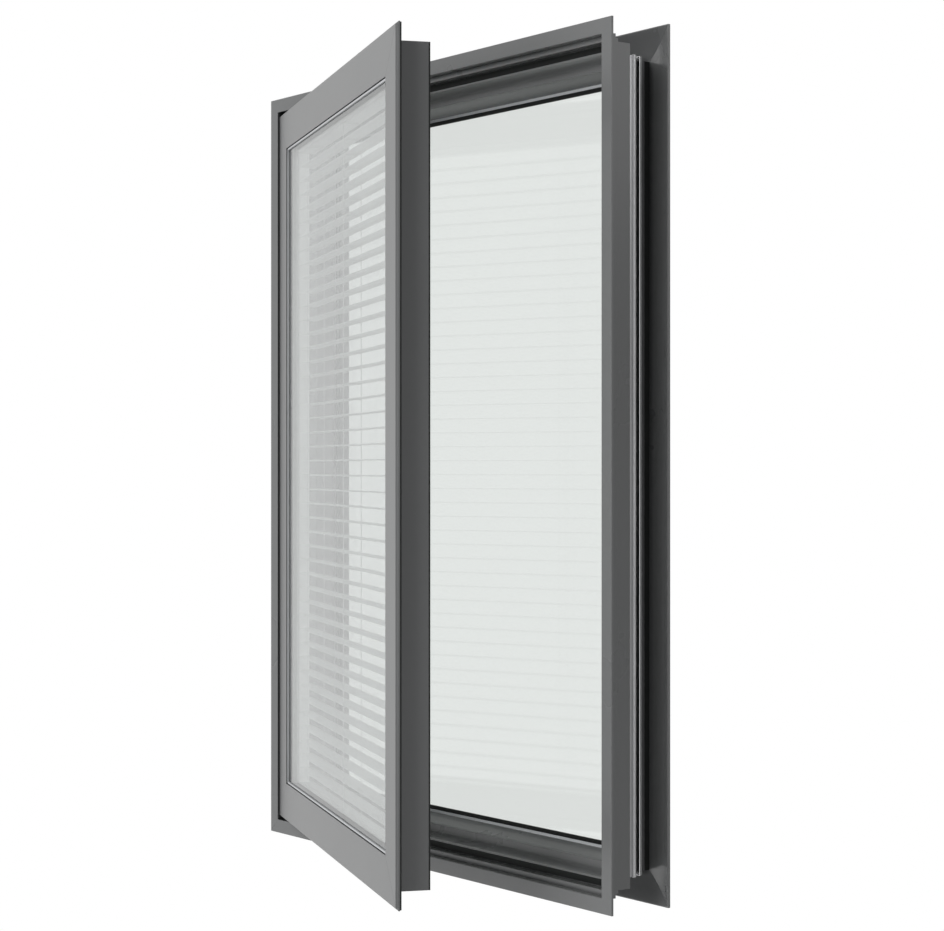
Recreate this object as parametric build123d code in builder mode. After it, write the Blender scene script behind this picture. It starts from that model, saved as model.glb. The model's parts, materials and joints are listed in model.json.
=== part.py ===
from build123d import *
from math import cos, radians, sin
import os

# A partition window in its wall lining, in millimetres.
# X runs along the wall, Y through it towards the rear room, Z up.
# The origin lies on the rear face of the front flange, at the lower edge of the wall opening.

# Driving sizes of the whole window
overall_height = 1200.0
overall_width = 888.0
wall_thickness = 95.4
opening_overlap = 10.0
joint_gap = 0.3
metal_wall = 2.0
thin_wall = 1.0
mitre_reach = 0.45
cut_margin = 1.0

# Front frame: a stepped hollow profile behind a slim flange
flange_thickness = 3.4
flange_width = 21.4
flange_wall = 2.7
flange_edge_radius = 0.7
first_ledge_depth = 11.7
first_ledge_width = 7.6
second_ledge_depth = 25.0
second_ledge_width = 12.5
outer_step_1_depth = 22.6
outer_step_1_width = 4.5
outer_step_2_depth = 30.5
outer_step_2_width = 4.0
cove_width = 6.5
seat_width = 9.5
seat_thickness = 3.2

# Seal that is pressed into the second ledge
ledge_seal_lip = 2.3
ledge_seal_width = 7.8
ledge_seal_groove = 2.0
ledge_seal_proud = 0.8

# Bare aluminium adapter, clip rail and seals between the two frames
adapter_inset = 39.7
adapter_wall = 2.0
adapter_length = 20.1
adapter_rib_width = 3.8
adapter_rib_height = 1.0
adapter_foot_length = 5.4
adapter_seal_length = 3.7
adapter_seal_rise = 3.7
clip_gap = 3.0
clip_face_length = 5.0
clip_web_inset = 44.7
clip_web_length = 8.5
root_seal_rise = 1.2

# Rear casing: a dished trim, a wall towards the front and a stop behind the pane
casing_wall_inset = 46.2
casing_lip_edge = 3.8
casing_lip_land = 1.5
casing_dish_rise = 4.6
casing_dish_middle = 5.0
casing_trim_thickness = 3.8
casing_crown_width = 12.0
pane_sight_inset = 77.0
rear_sight_inset = 70.5
pane_stop_thickness = 5.0
pane_stop_land = 8.0

# Fixed pane, its bead, spacer strip and seals
pane_thickness = 6.0
pane_cover = 10.5
bead_slope_width = 9.8
bead_length = 25.1
bead_toe_wall = 4.0
spacer_width = 4.0
spacer_length = 4.2
pane_front_seal_length = 3.0
pane_rear_seal_length = 2.2

# Sash: flat face plate with a rounded edge, hollow body and glass
sash_gap = 4.4
plate_thickness = 5.4
plate_edge_radius = 3.4
sash_body_inset = 21.3
sash_body_depth = 48.7
sash_sight_inset = 62.0
sash_lip_thickness = 3.2
sash_glass_depth = 4.2
sash_glass_thickness = 6.0
sash_glass_cover = 4.0
glass_edge_gap = 1.0
edge_seal_inset = 0.9
edge_seal_width = 9.0
edge_seal_length = 2.1
rear_seal_width = 5.0
rear_seal_length = 2.2
sash_bead_gap = 1.0
sash_bead_width = 2.8
sash_bead_rise = 1.6
glass_seal_margin = 0.6

# Pivot hinges on the left, and the angle at which the sash stands open
open_angle = 20.45
pivot_inset = 7.5
pivot_depth = 16.5
pin_radius = 2.5
pin_length = 42.0
pin_chamfer = 0.6
pin_clearance = 0.3
knuckle_radius = 3.9
knuckle_length = 34.0
bracket_length = 42.0
bracket_thickness = 2.0
arm_width = 6.4

# Blind behind the sash glass
slat_width = 25.0
slat_pitch = 22.5
slat_thickness = 0.5
slat_crown = 1.4
slat_end_gap = 2.5
slat_front_depth = 19.9
slat_clearance = 0.3
channel_width = 2.0
channel_depth = 26.8
channel_lip_width = 1.2
channel_lip_rise = 1.0
channel_front_gap = 0.3
head_rail_height = 7.0
bottom_rail_height = 2.0
rail_wall = 1.2
rail_edge_radius = 0.6
ladder_cord = 0.9
ladder_inset = 82.0
ladder_count = 3
rung_thickness = 0.6

# Sizes that follow from the ones above
first_ledge_inset = flange_width + first_ledge_width
second_ledge_inset = first_ledge_inset + second_ledge_width
outer_wall_inset = flange_width - flange_wall
outer_step_1_inset = outer_wall_inset + outer_step_1_width
outer_step_2_inset = outer_step_1_inset + outer_step_2_width
cove_end_inset = second_ledge_inset + cove_width
seat_end_inset = cove_end_inset + seat_width
lip_depth = flange_thickness + wall_thickness
trim_root_depth = lip_depth + casing_dish_rise
trim_rear_depth = trim_root_depth + casing_trim_thickness
seat_depth = sash_body_depth + rear_seal_length + joint_gap
front_frame_depth = seat_depth + seat_thickness
behind_frame_depth = front_frame_depth + joint_gap
adapter_end_depth = behind_frame_depth + adapter_length
seal_end_depth = adapter_end_depth + adapter_seal_length
clip_start_depth = seal_end_depth + clip_gap
clip_web_depth = clip_start_depth + clip_face_length
clip_end_depth = clip_web_depth + clip_web_length
casing_inner_inset = casing_wall_inset + metal_wall
bead_inset = casing_inner_inset + joint_gap
bead_toe_inset = seat_end_inset + bead_slope_width
bead_end_depth = behind_frame_depth + bead_length
spacer_end_inset = bead_toe_inset + spacer_width
pane_depth = bead_end_depth + spacer_length
pane_rear_depth = pane_depth + pane_thickness
stop_front_depth = pane_rear_depth + pane_rear_seal_length
front_centre_height = overall_height / 2 - opening_overlap
sash_inset = flange_width + sash_gap
sash_width = overall_width - 2 * sash_inset
sash_height = overall_height - 2 * sash_inset
glass_edge_inset = sash_sight_inset - sash_glass_cover

sides = ("head", "sill", "left_jamb", "right_jamb")
stiles = {
    "head": "top_rail",
    "sill": "bottom_rail",
    "left_jamb": "hinge_stile",
    "right_jamb": "lock_stile",
}

os.makedirs("parts", exist_ok=True)

# The front plane looks at the viewer: its x runs right and its y up.
front_plane = Plane(
    origin=(0, -flange_thickness, front_centre_height), x_dir=(1, 0, 0), z_dir=(0, -1, 0)
)

# The sash turns about a vertical pivot behind its left edge, so its plane follows that turn.
pivot_point = Vector(
    -overall_width / 2 + sash_inset + pivot_inset,
    -flange_thickness + pivot_depth,
    front_centre_height,
)
pivot_to_centre = Vector(sash_width / 2 - pivot_inset, -pivot_depth, 0)
sash_plane = Plane(
    origin=pivot_point + pivot_to_centre.rotate(Axis.Z, -open_angle),
    x_dir=Vector(1, 0, 0).rotate(Axis.Z, -open_angle),
    z_dir=Vector(0, -1, 0).rotate(Axis.Z, -open_angle),
)


def keep(piece, name):
    """Labels a finished piece and writes it under its own name."""
    piece.part.label = name
    export_step(piece.part, f"parts/{name}.step")


def section_plane(base, width, height, side):
    """A plane across one member: x is the inset from its outer edge, y the depth."""
    inward, reach = {
        "head": (-base.y_dir, height / 2),
        "sill": (base.y_dir, height / 2),
        "left_jamb": (base.x_dir, width / 2),
        "right_jamb": (-base.x_dir, width / 2),
    }[side]
    return Plane(
        origin=base.origin - inward * reach, x_dir=inward, z_dir=inward.cross(-base.z_dir)
    )


def mitre_outline(width, height, side, band):
    """The face-on outline of one member, cut at 45 degrees at both ends."""
    w = width / 2
    h = height / 2
    return {
        "head": [(-w, h), (w, h), (w - band, h - band), (band - w, h - band)],
        "sill": [(-w, -h), (w, -h), (w - band, band - h), (band - w, band - h)],
        "left_jamb": [(-w, -h), (-w, h), (band - w, h - band), (band - w, band - h)],
        "right_jamb": [(w, -h), (w, h), (w - band, h - band), (w - band, band - h)],
    }[side]


def mitred_member(base, width, height, side, draw_section):
    """Extrudes a section along one side of a rectangle and mitres its ends."""
    band = mitre_reach * min(width, height)
    section = draw_section(section_plane(base, width, height, side))
    with BuildPart() as member:
        extrude(section, amount=max(width, height) / 2, both=True)
        with BuildSketch(base):
            Polygon(*mitre_outline(width, height, side, band), align=None)
        extrude(amount=overall_height, both=True, mode=Mode.INTERSECT)
    return member


def picture_frame(base, width, height, outer, inner, start, end):
    """A flat ring between two insets, from one depth to another."""
    with BuildPart() as ring:
        with BuildSketch(base.offset(-start)):
            Rectangle(width - 2 * outer, height - 2 * outer)
            Rectangle(width - 2 * inner, height - 2 * inner, mode=Mode.SUBTRACT)
        extrude(amount=start - end)
    return ring


def draw_front_frame(plane):
    """Flange, two ledges that step inwards, a cove and a seat, with two chambers."""
    cove_length = seat_depth - second_ledge_depth
    cove_start, cove_waist, cove_turn, cove_end = [
        (
            cove_end_inset - cove_width * cos(radians(sweep)),
            second_ledge_depth + cove_length * sin(radians(sweep)),
        )
        for sweep in (0, 45, 70, 90)
    ]
    with BuildSketch(plane) as section:
        with BuildLine():
            Polyline(
                cove_end,
                (seat_end_inset, seat_depth),
                (seat_end_inset, front_frame_depth),
                (outer_step_2_inset, front_frame_depth),
                (outer_step_2_inset, outer_step_2_depth),
                (outer_step_1_inset, outer_step_2_depth),
                (outer_step_1_inset, outer_step_1_depth),
                (outer_wall_inset, outer_step_1_depth),
                (outer_wall_inset, flange_thickness),
                (0, flange_thickness),
                (0, 0),
                (flange_width, 0),
                (flange_width, first_ledge_depth),
                (first_ledge_inset, first_ledge_depth),
                (first_ledge_inset, second_ledge_depth),
                cove_start,
            )
            long_arc = TangentArc(cove_start, cove_waist, tangent=(0, 1))
            middle_arc = TangentArc(cove_waist, cove_turn, tangent=long_arc % 1)
            TangentArc(cove_turn, cove_end, tangent=middle_arc % 1)
        make_face()
        fillet(section.vertices().group_by(Axis.Y)[0], flange_edge_radius)
        groove = first_ledge_inset + ledge_seal_lip
        Polygon(
            (groove, second_ledge_depth - cut_margin),
            (groove + ledge_seal_width, second_ledge_depth - cut_margin),
            (groove + ledge_seal_width, second_ledge_depth + ledge_seal_groove),
            (groove, second_ledge_depth + ledge_seal_groove),
            align=None,
            mode=Mode.SUBTRACT,
        )
        Polygon(
            (outer_wall_inset + metal_wall, first_ledge_depth + metal_wall),
            (first_ledge_inset - metal_wall, first_ledge_depth + metal_wall),
            (first_ledge_inset - metal_wall, outer_step_1_depth - metal_wall),
            (outer_wall_inset + metal_wall, outer_step_1_depth - metal_wall),
            align=None,
            mode=Mode.SUBTRACT,
        )
        chamber_inset = outer_step_2_inset + metal_wall
        chamber_front = second_ledge_depth + ledge_seal_groove + metal_wall
        chamber_rear = front_frame_depth - metal_wall
        chamber_waist = second_ledge_inset - thin_wall
        Polygon(
            (chamber_inset, chamber_front),
            (second_ledge_inset - metal_wall, chamber_front),
            (chamber_waist, (chamber_front + chamber_rear) / 2),
            (chamber_waist + cove_width / 2, chamber_rear),
            (chamber_inset, chamber_rear),
            align=None,
            mode=Mode.SUBTRACT,
        )
    return section.sketch


def draw_adapter(plane):
    """A thin wall with a raised rib at its rear end and a foot towards the casing."""
    inner = adapter_inset + adapter_wall
    foot = casing_wall_inset - joint_gap
    rib_start = adapter_end_depth - adapter_rib_width
    with BuildSketch(plane) as section:
        Polygon(
            (adapter_inset, behind_frame_depth),
            (adapter_inset, rib_start),
            (adapter_inset - adapter_rib_height, rib_start),
            (adapter_inset - adapter_rib_height, adapter_end_depth),
            (inner, adapter_end_depth),
            (inner, behind_frame_depth + adapter_foot_length),
            (foot, behind_frame_depth + adapter_foot_length),
            (foot, behind_frame_depth),
            align=None,
        )
    return section.sketch


def draw_clip_rail(plane):
    """A face strip in line with the adapter and a web that lies on the casing."""
    with BuildSketch(plane) as section:
        Polygon(
            (adapter_inset, clip_start_depth),
            (adapter_inset, clip_web_depth),
            (clip_web_inset, clip_web_depth),
            (clip_web_inset, clip_end_depth),
            (casing_wall_inset, clip_end_depth),
            (casing_wall_inset, clip_start_depth),
            align=None,
        )
    return section.sketch


def draw_rear_casing(plane):
    """Dished trim with a thin outer lip, a wall to the front and a stop for the pane."""
    stop_inset = rear_sight_inset - pane_stop_thickness
    land_inset = rear_sight_inset - pane_stop_land
    trim_front = trim_rear_depth - casing_trim_thickness
    crown_start = (0, lip_depth + casing_lip_edge)
    crown_end = (casing_crown_width, trim_rear_depth)
    with BuildSketch(plane) as section:
        with BuildLine():
            ThreePointArc(
                (casing_lip_land, lip_depth),
                (casing_wall_inset / 2, lip_depth + casing_dish_middle),
                (casing_wall_inset, trim_root_depth),
            )
            Polyline(
                (casing_wall_inset, trim_root_depth),
                (casing_wall_inset, behind_frame_depth),
                (casing_inner_inset, behind_frame_depth),
                (casing_inner_inset, trim_front),
                (stop_inset, trim_front),
                (stop_inset, stop_front_depth + metal_wall),
                (land_inset, stop_front_depth + metal_wall),
                (land_inset, stop_front_depth),
                (rear_sight_inset, stop_front_depth),
                (rear_sight_inset, trim_rear_depth),
                crown_end,
            )
            TangentArc(crown_end, crown_start, tangent=(-1, 0))
            Polyline(crown_start, (0, lip_depth), (casing_lip_land, lip_depth))
        make_face()
    return section.sketch


def draw_glazing_bead(plane):
    """A hollow bead whose front slopes from the seat of the frame to the pane."""
    with BuildSketch(plane) as section:
        Polygon(
            (bead_inset, behind_frame_depth),
            (seat_end_inset, behind_frame_depth),
            (bead_toe_inset, bead_end_depth),
            (bead_inset, bead_end_depth),
            align=None,
        )
        Polygon(
            (bead_inset + metal_wall, behind_frame_depth + metal_wall),
            (seat_end_inset - thin_wall, behind_frame_depth + metal_wall),
            (bead_toe_inset - bead_toe_wall, bead_end_depth - metal_wall),
            (bead_inset + metal_wall, bead_end_depth - metal_wall),
            align=None,
            mode=Mode.SUBTRACT,
        )
    return section.sketch


def draw_sash(plane):
    """Face plate with a rounded outer edge, a pocket for the glass and a hollow body."""
    pocket_inset = glass_edge_inset - glass_edge_gap
    pocket_rear = sash_glass_depth + sash_glass_thickness + pin_clearance
    body_inset = sash_body_inset
    with BuildSketch(plane) as section:
        with BuildLine():
            RadiusArc((0, plate_edge_radius), (plate_edge_radius, 0), plate_edge_radius)
            Polyline(
                (plate_edge_radius, 0),
                (sash_sight_inset, 0),
                (sash_sight_inset, sash_lip_thickness),
                (pocket_inset, sash_lip_thickness),
                (pocket_inset, pocket_rear),
                (sash_sight_inset, pocket_rear),
                (sash_sight_inset, sash_body_depth),
                (body_inset, sash_body_depth),
                (body_inset, plate_thickness),
                (0, plate_thickness),
                (0, plate_edge_radius),
            )
        make_face()
        Polygon(
            (body_inset + metal_wall, metal_wall),
            (pocket_inset - metal_wall, metal_wall),
            (pocket_inset - metal_wall, pocket_rear),
            (body_inset + metal_wall, pocket_rear),
            align=None,
            mode=Mode.SUBTRACT,
        )
        Polygon(
            (body_inset + metal_wall, pocket_rear + metal_wall),
            (sash_sight_inset - metal_wall, pocket_rear + metal_wall),
            (sash_sight_inset - metal_wall, sash_body_depth - metal_wall),
            (body_inset + metal_wall, sash_body_depth - metal_wall),
            align=None,
            mode=Mode.SUBTRACT,
        )
    return section.sketch


# The four mitred members of every ring in the wall lining
front_sections = {
    "front_frame": draw_front_frame,
    "adapter": draw_adapter,
    "clip_rail": draw_clip_rail,
    "rear_casing": draw_rear_casing,
    "glazing_bead": draw_glazing_bead,
}
for ring_name, section in front_sections.items():
    for side in sides:
        member = mitred_member(front_plane, overall_width, overall_height, side, section)
        keep(member, f"{ring_name}_{side}")

# The four members of the sash
for side in sides:
    member = mitred_member(sash_plane, sash_width, sash_height, side, draw_sash)
    keep(member, f"sash_{stiles[side]}")

# Seals and strips that run round the wall lining: outer and inner inset, start and end depth
ledge_seal_inset = first_ledge_inset + ledge_seal_lip
lining_rings = {
    "ledge_seal": (
        ledge_seal_inset,
        ledge_seal_inset + ledge_seal_width,
        second_ledge_depth - ledge_seal_proud,
        second_ledge_depth + ledge_seal_groove,
    ),
    "adapter_seal": (
        casing_wall_inset - adapter_seal_rise,
        casing_wall_inset,
        adapter_end_depth,
        seal_end_depth,
    ),
    "root_seal": (
        casing_wall_inset - root_seal_rise,
        casing_wall_inset,
        clip_end_depth,
        trim_root_depth - joint_gap,
    ),
    "pane_spacer": (bead_toe_inset, spacer_end_inset, bead_end_depth, pane_depth),
    "pane_front_seal": (
        spacer_end_inset,
        pane_sight_inset,
        pane_depth - pane_front_seal_length,
        pane_depth,
    ),
    "pane_rear_seal": (
        rear_sight_inset - pane_stop_land,
        rear_sight_inset,
        pane_rear_depth,
        stop_front_depth,
    ),
}
for ring_name, (outer, inner, start, end) in lining_rings.items():
    ring = picture_frame(
        front_plane, overall_width, overall_height, outer, inner, start, end
    )
    keep(ring, ring_name)

# Seals and the bright bead that run round the sash
glass_front = sash_glass_depth
bead_outer = sash_sight_inset + sash_bead_gap
bead_inner = bead_outer + sash_bead_width
sash_rings = {
    "sash_edge_seal": (
        edge_seal_inset,
        edge_seal_inset + edge_seal_width,
        plate_thickness,
        plate_thickness + edge_seal_length,
    ),
    "sash_rear_seal": (
        sash_body_inset,
        sash_body_inset + rear_seal_width,
        sash_body_depth,
        sash_body_depth + rear_seal_length,
    ),
    "sash_glass_seal": (
        glass_edge_inset,
        bead_inner + glass_seal_margin,
        sash_lip_thickness,
        glass_front,
    ),
    "sash_glass_bead": (
        bead_outer,
        bead_inner,
        sash_lip_thickness - sash_bead_rise,
        sash_lip_thickness,
    ),
}
for ring_name, (outer, inner, start, end) in sash_rings.items():
    ring = picture_frame(sash_plane, sash_width, sash_height, outer, inner, start, end)
    keep(ring, ring_name)

# Fixed pane in the wall lining
pane_edge_inset = rear_sight_inset - pane_cover
with BuildPart() as fixed_pane:
    with BuildSketch(front_plane.offset(-pane_depth)):
        Rectangle(overall_width - 2 * pane_edge_inset, overall_height - 2 * pane_edge_inset)
    extrude(amount=-pane_thickness)
keep(fixed_pane, "fixed_pane")

# Glass of the sash
with BuildPart() as sash_glass:
    with BuildSketch(sash_plane.offset(-sash_glass_depth)):
        Rectangle(sash_width - 2 * glass_edge_inset, sash_height - 2 * glass_edge_inset)
    extrude(amount=-sash_glass_thickness)
keep(sash_glass, "sash_glass")

# Pivot hinges: a bracket with a pin under the head and over the sill, and an arm on the sash
pin_reach = overall_height / 2 - first_ledge_inset
knuckle_middle = pin_reach - pin_length + knuckle_length / 2
arm_length = sash_body_inset - pivot_inset
for end_name, up in (("upper", 1), ("lower", -1)):
    wall_height = front_centre_height + up * pin_reach
    pin_plane = Plane(
        origin=(pivot_point.X, pivot_point.Y, wall_height), x_dir=(1, 0, 0), z_dir=(0, 0, -up)
    )
    with BuildPart() as bracket:
        with BuildSketch(pin_plane):
            with Locations((bracket_length / 2 - knuckle_radius, 0)):
                SlotOverall(bracket_length, 2 * knuckle_radius)
        extrude(amount=bracket_thickness)
        with BuildSketch(pin_plane):
            Circle(pin_radius)
        extrude(amount=pin_length)
        pin_tip = bracket.faces().sort_by(Axis.Z)[0 if up > 0 else -1]
        chamfer(pin_tip.edges(), pin_chamfer)
    keep(bracket, f"{end_name}_pivot_bracket")

    knuckle_plane = Plane(
        origin=(pivot_point.X, pivot_point.Y, front_centre_height + up * knuckle_middle),
        x_dir=sash_plane.x_dir,
        z_dir=(0, 0, 1),
    )
    with BuildPart() as arm:
        with BuildSketch(knuckle_plane):
            Circle(knuckle_radius)
            with Locations((arm_length / 2, 0)):
                Rectangle(arm_length, arm_width)
        extrude(amount=knuckle_length / 2, both=True)
        with BuildSketch(knuckle_plane):
            Circle(pin_radius + pin_clearance)
        extrude(amount=knuckle_length, both=True, mode=Mode.SUBTRACT)
    keep(arm, f"{end_name}_pivot_arm")

# Blind: side channels, head rail, slats, bottom rail and ladder cords behind the sash glass
blind_opening_width = sash_width - 2 * sash_sight_inset
blind_opening_height = sash_height - 2 * sash_sight_inset
blind_width = blind_opening_width - 2 * (channel_width + slat_end_gap)
glass_rear = sash_glass_depth + sash_glass_thickness
slat_middle_depth = slat_front_depth + slat_width / 2
rail_top = blind_opening_height / 2 - joint_gap
rail_bottom = rail_top - head_rail_height
bottom_rail_base = joint_gap - blind_opening_height / 2
bottom_rail_middle = bottom_rail_base + bottom_rail_height / 2
slat_top_limit = rail_bottom - slat_clearance - slat_crown - slat_thickness
slat_bottom_limit = bottom_rail_base + bottom_rail_height
slat_count = round((slat_top_limit - slat_bottom_limit) / slat_pitch)
slat_step = (slat_top_limit - slat_bottom_limit) / slat_count
slat_heights = [slat_top_limit - n * slat_step for n in range(slat_count)]
blind_section = Plane(
    origin=sash_plane.origin - sash_plane.z_dir * slat_middle_depth,
    x_dir=-sash_plane.z_dir,
    z_dir=sash_plane.x_dir,
)
# On the blind's section, x runs to the rear and y runs down.
upward = 1 if blind_section.y_dir.Z > 0 else -1

channel_length = blind_opening_height - 2 * joint_gap
channel_front_plane = sash_plane.offset(-glass_rear - channel_front_gap)
lip_starts = (
    slat_front_depth - glass_rear - channel_front_gap - channel_lip_width,
    channel_depth - channel_lip_width,
)
with BuildPart() as side_channels:
    for way in (-1, 1):
        with BuildSketch(channel_front_plane):
            with Locations((way * (blind_opening_width - channel_width) / 2, 0)):
                Rectangle(channel_width, channel_length)
        extrude(amount=-channel_depth)
        for lip_start in lip_starts:
            lip_reach = channel_width + channel_lip_rise
            with BuildSketch(channel_front_plane.offset(-lip_start)):
                with Locations((way * (blind_opening_width - lip_reach) / 2, 0)):
                    Rectangle(lip_reach, channel_length)
            extrude(amount=-channel_lip_width)
keep(side_channels, "blind_side_channels")

with BuildPart() as head_rail:
    with BuildSketch(blind_section):
        with Locations((0, upward * (rail_top - head_rail_height / 2))):
            Rectangle(slat_width, head_rail_height)
            with Locations((0, upward * rail_wall)):
                Rectangle(slat_width - 2 * rail_wall, head_rail_height, mode=Mode.SUBTRACT)
    extrude(amount=blind_width / 2, both=True)
keep(head_rail, "blind_head_rail")

with BuildPart() as bottom_rail:
    with BuildSketch(blind_section):
        with Locations((0, upward * bottom_rail_middle)):
            RectangleRounded(slat_width, bottom_rail_height, rail_edge_radius)
    extrude(amount=blind_width / 2, both=True)
keep(bottom_rail, "blind_bottom_rail")

with BuildPart() as slats:
    with BuildSketch(blind_section):
        for height in slat_heights:
            lower = upward * height
            upper = upward * (height + slat_thickness)
            crown = upward * slat_crown
            half = slat_width / 2
            with BuildLine():
                ThreePointArc((-half, lower), (0, lower + crown), (half, lower))
                Line((half, lower), (half, upper))
                ThreePointArc((half, upper), (0, upper + crown), (-half, upper))
                Line((-half, upper), (-half, lower))
            make_face()
    extrude(amount=blind_width / 2, both=True)
keep(slats, "blind_slats")

ladder_top = rail_bottom
ladder_bottom = bottom_rail_middle
ladder_reach = blind_opening_width / 2 - ladder_inset
ladder_places = [
    -ladder_reach + n * 2 * ladder_reach / (ladder_count - 1) for n in range(ladder_count)
]
string_offset = slat_width / 2 + joint_gap + ladder_cord / 2
with BuildPart() as ladders:
    for place in ladder_places:
        ladder_section = Plane(
            origin=blind_section.origin + sash_plane.x_dir * place,
            x_dir=blind_section.x_dir,
            z_dir=blind_section.z_dir,
        )
        with BuildSketch(ladder_section):
            for way in (-1, 1):
                with Locations((way * string_offset, upward * (ladder_top + ladder_bottom) / 2)):
                    Rectangle(ladder_cord, ladder_top - ladder_bottom)
            for height in slat_heights:
                with Locations((0, upward * (height - joint_gap - rung_thickness / 2))):
                    Rectangle(2 * string_offset, rung_thickness)
        extrude(amount=ladder_cord / 2, both=True)
keep(ladders, "blind_ladders")
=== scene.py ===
# %% [markdown]
# A partition window, dressed for its portrait
#
# The window is a folded metal lining that goes through a wall, with a hollow sash that stands
# open on its left side and a blind behind the sash's glass. Every profile comes from the packed
# model, so this lesson is about what makes such a window look real: soft edges, satin paint
# with dusty corners, bare metal, rubber, glass that mirrors a bright room, and studio light.

import json
import math

import bpy
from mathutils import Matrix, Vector


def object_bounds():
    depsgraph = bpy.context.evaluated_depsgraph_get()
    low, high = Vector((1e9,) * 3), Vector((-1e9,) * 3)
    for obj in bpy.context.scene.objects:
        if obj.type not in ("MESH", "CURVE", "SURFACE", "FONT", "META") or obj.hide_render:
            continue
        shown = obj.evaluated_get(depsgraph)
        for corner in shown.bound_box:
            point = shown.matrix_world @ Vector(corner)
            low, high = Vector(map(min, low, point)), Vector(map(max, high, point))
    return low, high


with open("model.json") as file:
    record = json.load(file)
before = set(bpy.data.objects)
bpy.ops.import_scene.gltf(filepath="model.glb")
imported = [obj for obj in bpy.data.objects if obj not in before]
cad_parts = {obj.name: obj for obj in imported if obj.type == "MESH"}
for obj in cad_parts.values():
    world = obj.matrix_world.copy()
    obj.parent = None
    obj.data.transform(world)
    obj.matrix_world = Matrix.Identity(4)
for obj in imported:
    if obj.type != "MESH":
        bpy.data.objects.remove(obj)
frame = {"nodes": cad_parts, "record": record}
nodes = frame["nodes"]
cad_low, cad_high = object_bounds()
middle = (cad_low + cad_high) / 2
print("pieces from the model:", len(nodes))
print("size in metres:", [round(high - low, 3) for low, high in zip(cad_low, cad_high)])

# %% [markdown]
# Where the camera stands
#
# Upright edges stay upright in the photograph and the eye level crosses the middle of the
# window, so the camera is level and stands to the right, at the height of the window's middle.
# A long lens keeps the far side almost as tall as the near one. A level camera needs only a
# turn about the upright axis, which is easier to read than a target to track.

# %% Place the camera
camera_place = Vector((2.8344, -1.9405, 0.590))
camera_turn = math.radians(54.44)
camera_lens = 87.94
sensor_width = 36.0
nearest, farthest = 0.05, 60.0

camera_data = bpy.data.cameras.new("portrait_camera")
camera_data.lens = camera_lens
camera_data.sensor_width = sensor_width
camera_data.shift_y = 0.0005
camera_data.clip_start, camera_data.clip_end = nearest, farthest
camera = bpy.data.objects.new("portrait_camera", camera_data)
camera.location = camera_place
camera.rotation_euler = (math.pi / 2, 0.0, camera_turn)
bpy.context.scene.collection.objects.link(camera)
bpy.context.scene.camera = camera
print("camera to window, metres:", round((camera_place - middle).length, 2))

# %% [markdown]
# Shader sums that read like sums
#
# A node tree is easier to follow when its maths is written as an expression. The small class
# below wraps one socket, and each operator on it adds the Math node that does the same. The
# reflected forms let a plain number stand first, as in 1 - mask.


# %% Write shader maths as expressions
class Wire:
    """One output socket in a node tree, with sums written as Python operators."""

    def __init__(self, tree, socket):
        self.tree = tree
        self.socket = socket

    def maths(self, operation, *values, clamp=False):
        settings = {"operation": operation, "use_clamp": clamp}
        return self.tree.add("ShaderNodeMath", settings, dict(enumerate(values)))

    def __add__(self, other):
        return self.maths("ADD", self, other)

    def __rsub__(self, other):
        return self.maths("SUBTRACT", other, self)

    def __mul__(self, other):
        return self.maths("MULTIPLY", self, other)

    def __pow__(self, other):
        return self.maths("POWER", self, other)

    def __gt__(self, other):
        return self.maths("GREATER_THAN", self, other)

    def __lt__(self, other):
        return self.maths("LESS_THAN", self, other)

    __radd__ = __add__
    __rmul__ = __mul__


# %% [markdown]
# One way to add any node
#
# Everything that isn't maths comes from one method. It takes the node's type, its settings,
# which are set first because they can change its sockets, and the values or wires of its
# sockets. A few short methods on top of it name what the finishes below have in common.


# %% Add nodes by one method
class Tree:
    """A node tree that grows by one method."""

    def __init__(self, node_tree):
        self.nodes = node_tree.nodes
        self.links = node_tree.links

    def add(self, kind, settings=None, sockets=None, output=0):
        node = self.nodes.new(kind)
        for key, value in (settings or {}).items():
            setattr(node, key, value)
        for key, value in (sockets or {}).items():
            self.feed(node.inputs[key], value)
        return Wire(self, node.outputs[output])

    def feed(self, socket, value):
        if isinstance(value, Wire):
            self.links.new(value.socket, socket)
        else:
            socket.default_value = value

    def place(self, stretch=(1.0, 1.0, 1.0)):
        """Object coordinates in metres, stretched so that a pattern runs along one way."""
        spot = self.add("ShaderNodeTexCoord", output="Object")
        return self.add(
            "ShaderNodeVectorMath", {"operation": "MULTIPLY"}, {0: spot, 1: stretch}
        )

    def noise(self, scale, detail=3.0, stretch=(1.0, 1.0, 1.0)):
        return self.add(
            "ShaderNodeTexNoise",
            {},
            {"Vector": self.place(stretch), "Scale": scale, "Detail": detail},
            output="Fac",
        )

    def ramp(self, value, low, high):
        """Goes smoothly from 0 at the low value to 1 at the high one."""
        return self.add(
            "ShaderNodeMapRange",
            {"interpolation_type": "SMOOTHSTEP"},
            {"Value": value, "From Min": low, "From Max": high},
        )

    def between(self, factor, first, second):
        """A colour that goes from the first to the second as the factor goes from 0 to 1."""
        node = self.nodes.new("ShaderNodeMix")
        node.data_type = "RGBA"
        self.feed(node.inputs["Factor"], factor)
        for name, value in (("A", first), ("B", second)):
            socket = next(s for s in node.inputs if s.name == name and s.type == "RGBA")
            self.feed(socket, value if isinstance(value, Wire) else (*value, 1.0))
        return Wire(self, next(s for s in node.outputs if s.type == "RGBA"))

    def bump(self, height, distance, strength):
        return self.add(
            "ShaderNodeBump",
            {},
            {"Height": height, "Distance": distance, "Strength": strength},
            output="Normal",
        )


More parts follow.
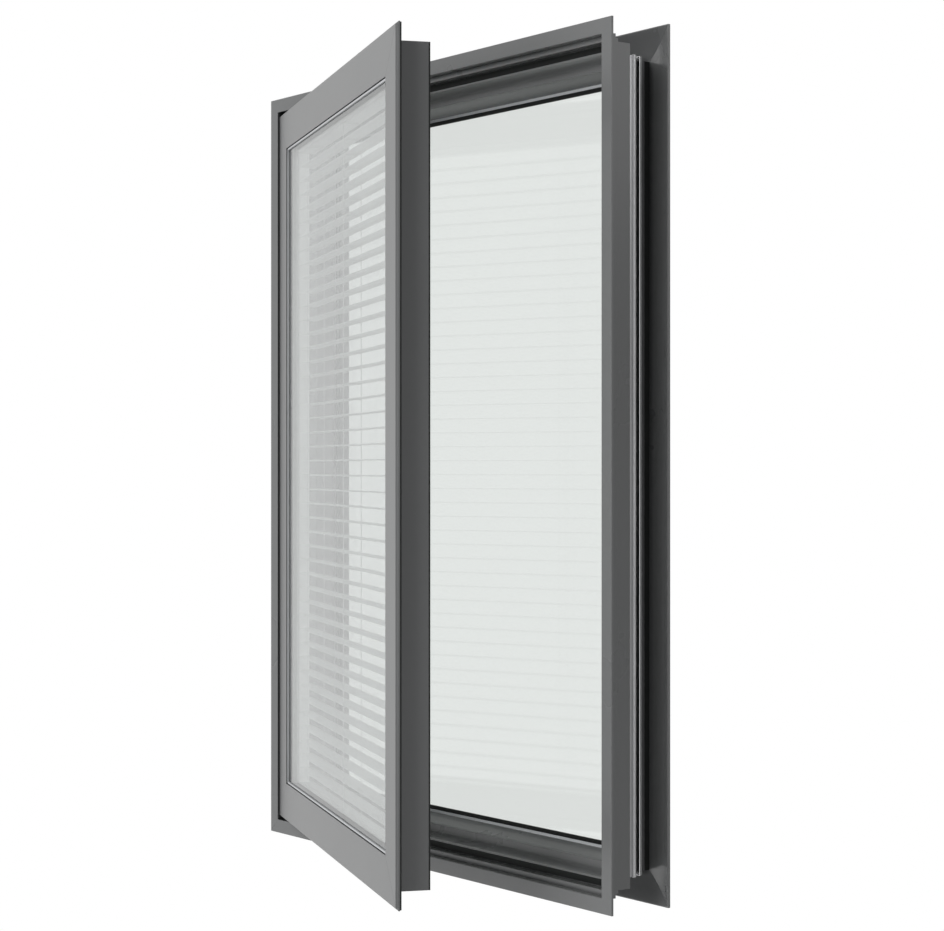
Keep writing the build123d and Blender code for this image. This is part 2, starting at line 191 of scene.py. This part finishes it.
class Finish(Tree):
    """A material with a Principled surface, whose sockets are named in Python's way."""

    def __init__(self, name, **constants):
        self.material = bpy.data.materials.new(name)
        self.material.use_nodes = True
        super().__init__(self.material.node_tree)
        self.surface = self.nodes["Principled BSDF"]
        self.output = self.nodes["Material Output"].inputs["Surface"]
        self.drive(**constants)

    def drive(self, **values):
        for socket, value in values.items():
            self.feed(self.surface.inputs[socket.replace("_", " ")], value)


# %% [markdown]
# Satin powder paint
#
# The lining, the trim and the sash are aluminium with a mid grey powder coat. Powder melts into
# a skin with a very fine orange peel and a satin shine. Fine noise through a Bump node makes
# the peel, and a slower noise moves colour and roughness a little, as dust and handling do.
#
# Grooves and inside corners get little light, so painted shade makes the paint dark and dull
# there. An Ambient Occlusion node measures how open each spot is, and it mixes a matt dark
# shader over the paint as painted shade. The sash's paint is a darker copy of the lining's
# grey, painted shade that tones down the stronger light on its face, and its painted shade
# stays in the narrow grooves, so that the sash's sides stay evenly lit.

# %% Mix the paint
# painted shade: the dark matt colour, and the openness range over which ambient occlusion mixes
# it into grooves and inside corners
painted_shade_colour = (0.030, 0.032, 0.032)
fully_shaded_below = 0.30
unshaded_above = 0.68
openness_rays = 16
peel_scale = 900.0
peel_height = 0.00002
cloud_scale = 5.0
cloud_roughness = 0.06


def satin_paint(name, dark, light, roughness, shine, corner_reach):
    finish = Finish(name, IOR=1.5, Specular_IOR_Level=shine)
    clouds = finish.noise(cloud_scale, detail=4.0)
    peel = finish.noise(peel_scale, detail=2.0)
    finish.drive(
        Base_Color=finish.between(clouds, dark, light),
        Roughness=roughness + clouds * cloud_roughness,
        Normal=finish.bump(peel, peel_height, strength=0.3),
    )
    openness = finish.add(
        "ShaderNodeAmbientOcclusion",
        {"samples": openness_rays},
        {"Distance": corner_reach},
        output="AO",
    )
    # painted shade: the less open a spot is, the more of the dark matt shader covers the paint
    # there
    painted_shade_share = 1.0 - finish.ramp(openness, fully_shaded_below, unshaded_above)
    unshaded_paint = Wire(finish, finish.surface.outputs[0])
    painted_shade_bsdf = finish.add("ShaderNodeBsdfDiffuse", {}, {"Color": (*painted_shade_colour, 1.0)})
    paint_with_painted_shade = finish.add("ShaderNodeMixShader", {}, {0: painted_shade_share, 1: unshaded_paint, 2: painted_shade_bsdf})
    finish.feed(finish.output, paint_with_painted_shade)
    return finish.material


lining_paint = satin_paint(
    "lining_grey_paint",
    (0.172, 0.176, 0.177),
    (0.192, 0.195, 0.196),
    roughness=0.25,
    shine=0.5,
    corner_reach=0.020,
)
# painted shade: the sash's paint is a darker copy of the lining's grey, toning down the
# stronger light on the sash's face; its short reach keeps the painted shade in narrow grooves
sash_paint = satin_paint(
    "sash_grey_paint",
    (0.138, 0.141, 0.142),
    (0.155, 0.158, 0.159),
    roughness=0.27,
    shine=0.4,
    corner_reach=0.003,
)
print("paint:", lining_paint.name, sash_paint.name)

# %% [markdown]
# Bare aluminium and hinge steel
#
# Some strips are left bare: the adapter that bridges the wall, the clip rail behind it and the
# narrow strips that hold the glass. They are extruded, so the die leaves fine lines along the
# length. Noise squeezed across the length makes such lines, and they vary the roughness more
# than the colour, because scratches scatter light but take none away. The adapter's rib and
# the clip rail's edge catch the light as bright lines, so bands by depth paint a highlight
# colour on them. The strip before the fixed pane is a paler, bluish anodised aluminium, and the
# hinges are a darker, duller steel.

# %% Turn out the bare metals
die_line_scale = 260.0
along_everything = (1.0, 1.0, 0.04)
dull_scale = 14.0
# painted highlight: the bright colour that bands by depth put on the adapter's rib and the clip
# rail's edge
painted_highlight_colour = (0.90, 0.90, 0.91)
rib_highlight_band = (0.0675, 0.0716)
clip_edge_highlight_band = (0.0780, 0.0833)


def bare_metal(name, light, dark, smoothest, highlight_bands=()):
    finish = Finish(name, Metallic=1.0)
    lines = finish.noise(die_line_scale, detail=4.0, stretch=along_everything)
    dull = finish.noise(dull_scale)
    colour = finish.between(lines, dark, light)
    if highlight_bands:
        depth = finish.add(
            "ShaderNodeSeparateXYZ", {}, {"Vector": finish.place()}, output="Y"
        )
        # painted highlight: spots within a depth band take the bright colour
        on_highlight_band = sum((depth > start) * (depth < end) for start, end in highlight_bands)
        colour = finish.between(on_highlight_band, colour, painted_highlight_colour)
    finish.drive(
        Base_Color=colour,
        Roughness=smoothest + dull * 0.06 + lines * 0.06,
        Normal=finish.bump(lines, distance=0.00002, strength=0.4),
    )
    return finish.material


mill_metal = bare_metal(
    "mill_aluminium", (0.40, 0.40, 0.41), (0.30, 0.30, 0.31), 0.19, (rib_highlight_band, clip_edge_highlight_band)
)
satin_metal = bare_metal("satin_aluminium", (0.58, 0.59, 0.61), (0.48, 0.49, 0.51), 0.27)
spacer_metal = bare_metal("spacer_aluminium", (0.80, 0.82, 0.84), (0.70, 0.72, 0.74), 0.35)
hinge_metal = bare_metal("hinge_steel", (0.46, 0.46, 0.47), (0.36, 0.36, 0.38), 0.33)
print("bare metals:", [m.name for m in (mill_metal, satin_metal, spacer_metal, hinge_metal)])

# %% [markdown]
# Rubber
#
# The seals are extruded black rubber. Real rubber is a very dark grey with a dull sheen, a
# little bloom that lightens it in patches, and a fine matt grain, so it never goes fully black.
# The seal round the sash's glass is a mid grey one, since it shows as a pale line.

# %% Cook the rubber
rubber = Finish("black_rubber", IOR=1.48, Specular_IOR_Level=0.25)
bloom = rubber.noise(40.0, detail=4.0)
grain = rubber.noise(2200.0, detail=1.0)
rubber.drive(
    Base_Color=rubber.between(bloom, (0.006, 0.007, 0.0065), (0.016, 0.018, 0.017)),
    Roughness=0.52 + bloom * 0.16,
    Normal=rubber.bump(grain, distance=0.00003, strength=0.5),
)

glazing_grey = Finish("grey_glazing_seal", IOR=1.45, Specular_IOR_Level=0.3)
skin = glazing_grey.noise(60.0)
glazing_grey.drive(
    Base_Color=glazing_grey.between(skin, (0.32, 0.325, 0.325), (0.38, 0.385, 0.385)),
    Roughness=0.50 + skin * 0.12,
    Normal=glazing_grey.bump(skin, distance=0.00005, strength=0.4),
)
print("rubber:", rubber.material.name, glazing_grey.material.name)

# %% [markdown]
# White enamel and cord
#
# The blind's slats, rails and side channels are thin metal with a stoved white enamel. It is
# smoother than powder, so its grain is lower and its shine is higher. The ladder cords are
# woven polyester, and a fine wave round them stands for the braid.

# %% Enamel the blind
enamel = Finish("white_enamel", IOR=1.5)
flow = enamel.noise(9.0)
tooth = enamel.noise(600.0, detail=1.0)
enamel.drive(
    Base_Color=enamel.between(flow, (0.82, 0.83, 0.82), (0.87, 0.88, 0.87)),
    Roughness=0.36 + flow * 0.10,
    Normal=enamel.bump(tooth, distance=0.00002, strength=0.25),
)

braid = Finish("ladder_cord", IOR=1.45)
weave = braid.add(
    "ShaderNodeTexWave",
    {"bands_direction": "DIAGONAL"},
    {"Vector": braid.place(), "Scale": 500.0, "Distortion": 1.0},
    output="Fac",
)
braid.drive(
    Base_Color=braid.between(weave, (0.50, 0.51, 0.50), (0.68, 0.69, 0.68)),
    Roughness=0.70 + weave * 0.10,
    Normal=braid.bump(weave, distance=0.0001, strength=0.5),
)
print("enamel and cord:", enamel.material.name, braid.material.name)

# %% [markdown]
# Glass
#
# A pane mirrors more of the room the flatter we look at it, and lets the rest through. Both
# panes are flat, so nothing behind them looks bent, and a see-through shader that is tinted a
# little does for them. A mirror shader is mixed over it by how flat the view is: a small share
# head on, and the rest rising steeply towards the edge-on view. The same mix works from inside
# the pane, where a Fresnel node would turn it all to mirror.

# %% Pour the glass
head_on_share = 0.04
steepness = 5.0
mirror_colour = (0.97, 0.98, 0.98, 1.0)
streak_scale = 6.0


def pane_glass(name, let_through):
    finish = Finish(name)
    finish.nodes.remove(finish.surface)
    flatness = finish.add("ShaderNodeLayerWeight", {}, {"Blend": 0.5}, output="Facing")
    streaks = finish.noise(streak_scale, detail=2.0)
    share = head_on_share + (1.0 - head_on_share) * flatness**steepness
    clear = finish.add("ShaderNodeBsdfTransparent", {}, {"Color": (*let_through, 1.0)})
    mirror = finish.add(
        "ShaderNodeBsdfAnisotropic",
        {},
        {"Color": mirror_colour, "Roughness": 0.02 + streaks * 0.02},
    )
    surface = finish.add("ShaderNodeMixShader", {}, {0: share, 1: clear, 2: mirror})
    finish.feed(finish.output, surface)
    return finish.material


sash_pane = pane_glass("sash_pane", (0.875, 0.885, 0.88))
lining_pane = pane_glass("lining_pane", (0.88, 0.895, 0.885))
print("glass:", sash_pane.name, lining_pane.name)

# %% [markdown]
# Finishes on the model's pieces
#
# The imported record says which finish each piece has, so one table from its names to the
# materials above dresses every piece in a loop. A second table holds the few pieces whose real
# finish is a shade of that one, and the sash's rails and stiles get the sash's paint.

# %% Dress every piece
finishes = {
    "grey_paint": lining_paint,
    "bare_aluminium": mill_metal,
    "satin_aluminium": satin_metal,
    "black_rubber": rubber.material,
    "clear_glass": sash_pane,
    "white_enamel": enamel.material,
    "ladder_cord": braid.material,
    "hinge_steel": hinge_metal,
}
shades = {
    "fixed_pane": lining_pane,
    "sash_glass_seal": glazing_grey.material,
    "pane_spacer": spacer_metal,
}
slot_of = {row["node"]: row["material_slot"] for row in frame["record"]["subparts"]}
for name, piece in nodes.items():
    finish = shades.get(name, finishes[slot_of[name]])
    if name.startswith("sash_") and slot_of[name] == "grey_paint":
        finish = sash_paint
    piece.data.materials.clear()
    piece.data.materials.append(finish)
print("dressed:", {slot: list(slot_of.values()).count(slot) for slot in finishes})

# %% [markdown]
# Edges that catch the light
#
# No folded or extruded edge is perfectly sharp. Each metal profile gets a Weld, which joins the
# points that the model's export keeps apart, a Decimate that gives each flat face back its
# outline, and a small Bevel. The mitred ends are rounded too, and so each corner shows the
# hairline that a real mitre has. The clip rail's edges are the roundest, and they draw the
# bright line at its front.

# %% Soften the profiles
edge_radii = {
    "front_frame": 0.00035,
    "rear_casing": 0.00035,
    "glazing_bead": 0.00025,
    "adapter": 0.00025,
    "clip_rail": 0.0008,
    "sash_": 0.00035,
}
rounded_edge = math.radians(35.0)
flat_enough = math.radians(0.5)
same_point = 1e-6


def soften(piece, radius):
    weld = piece.modifiers.new("join_points", "WELD")
    weld.merge_threshold = same_point
    flatten = piece.modifiers.new("whole_faces", "DECIMATE")
    flatten.decimate_type = "DISSOLVE"
    flatten.angle_limit = flat_enough
    bevel = piece.modifiers.new("soft_edges", "BEVEL")
    bevel.width = radius
    bevel.segments = 2
    bevel.limit_method = "ANGLE"
    bevel.angle_limit = rounded_edge
    bevel.harden_normals = True


softened = 0
for name, piece in nodes.items():
    for start, radius in edge_radii.items():
        if name.startswith(start) and slot_of[name] != "clear_glass":
            soften(piece, radius)
            softened += 1
print("softened profiles:", softened)

# %% [markdown]
# The white room
#
# The photograph has a white surround that every shiny surface mirrors, while little of its
# light falls on the window's sides. So the world is plain white for the camera and for mirrors,
# and a soft grey for everything else. A Light Path node tells which kind of ray is asking.

# %% Fill the world
world_grey = 0.13
eyes = ("Is Camera Ray", "Is Glossy Ray", "Is Transmission Ray")


def white_for_eyes(tree, plain, bright, output):
    """Shows the bright shader to the camera and to mirrors, and the plain one to the rest."""
    camera_ray, glossy_ray, through_ray = (
        tree.add("ShaderNodeLightPath", output=kind) for kind in eyes
    )
    seen = camera_ray.maths("ADD", camera_ray + glossy_ray, through_ray, clamp=True)
    tree.feed(output, tree.add("ShaderNodeMixShader", {}, {0: seen, 1: plain, 2: bright}))


world = bpy.data.worlds.new("studio_world")
bpy.context.scene.world = world
world.use_nodes = True
room = Tree(world.node_tree)
soft_grey, plain_white = (
    room.add("ShaderNodeBackground", {}, {"Color": (*colour, 1.0), "Strength": strength})
    for colour, strength in (((0.96, 0.98, 1.0), world_grey), ((1.0, 1.0, 1.0), 1.0))
)
white_for_eyes(room, soft_grey, plain_white, room.nodes["World Output"].inputs["Surface"])
print("world:", world.name, "grey for shading", world_grey)

# %% [markdown]
# The lamps
#
# The window's front is evenly lit and its sides go down to about half of that. A wide panel in
# front and one above it give the main light, and the upper one also reaches the trim behind the
# flange. A faint panel lights the right side. The panels don't show in mirrors, since the white
# room is what the metal and the glass mirror. Only a small one behind does, to draw a rim on
# the trim, and it lights nothing else.

# %% Hang the lamps
panels = {
    "key_panel": ((0.6, -4.9, 0.5), (2.6, 2.6), 84.0),
    "high_panel": ((0.6, -3.9, 3.4), (2.6, 2.0), 74.0),
    "side_panel": ((2.9, -1.2, 0.1), (1.6, 1.6), 9.0),
    "rim_panel": ((2.7, 2.1, 1.75), (0.8, 0.8), 4.0),
}
for name, (place, size, power) in panels.items():
    lamp_data = bpy.data.lights.new(name, "AREA")
    lamp_data.shape = "RECTANGLE"
    lamp_data.size, lamp_data.size_y = size
    lamp_data.energy = power
    lamp = bpy.data.objects.new(name, lamp_data)
    lamp.location = place
    lamp.rotation_euler = (middle - Vector(place)).to_track_quat("-Z", "Y").to_euler()
    lamp.visible_glossy = name == "rim_panel"
    lamp.visible_diffuse = name != "rim_panel"
    bpy.context.scene.collection.objects.link(lamp)
print("lamps:", list(panels))

# %% [markdown]
# The floor
#
# The floor is a round one, below the window as in a room, and it keeps the shadow that the
# window throws. Seen directly it glows almost white, with a little shaded grey added so that
# the shadow shows. It ends before the strip that the portrait sees through the fixed pane.

# %% Lay the floor
floor_drop = 0.90
floor_radius = 3.4
floor_sides = 96
floor_glow = 0.92
floor_shade = (0.25, 0.25, 0.25, 1.0)

bpy.ops.mesh.primitive_circle_add(
    vertices=floor_sides,
    radius=floor_radius,
    fill_type="NGON",
    location=(0.0, 0.0, cad_low.z - floor_drop),
)
floor = bpy.context.active_object
floor.name = "studio_floor"
floor_finish = Finish("studio_floor", Roughness=0.9)
speckle = floor_finish.noise(3.0)
floor_finish.drive(
    Base_Color=floor_finish.between(speckle, (0.80, 0.80, 0.80), (0.82, 0.82, 0.82))
)
glow = floor_finish.add("ShaderNodeEmission", {}, {"Strength": floor_glow})
shade = floor_finish.add("ShaderNodeBsdfDiffuse", {}, {"Color": floor_shade})
white_for_eyes(
    floor_finish,
    Wire(floor_finish, floor_finish.surface.outputs[0]),
    floor_finish.add("ShaderNodeAddShader", {}, {0: glow, 1: shade}),
    floor_finish.output,
)
floor.data.materials.append(floor_finish.material)
bpy.context.scene.view_settings.view_transform = "Standard"
print("floor below the window, metres:", floor_drop)
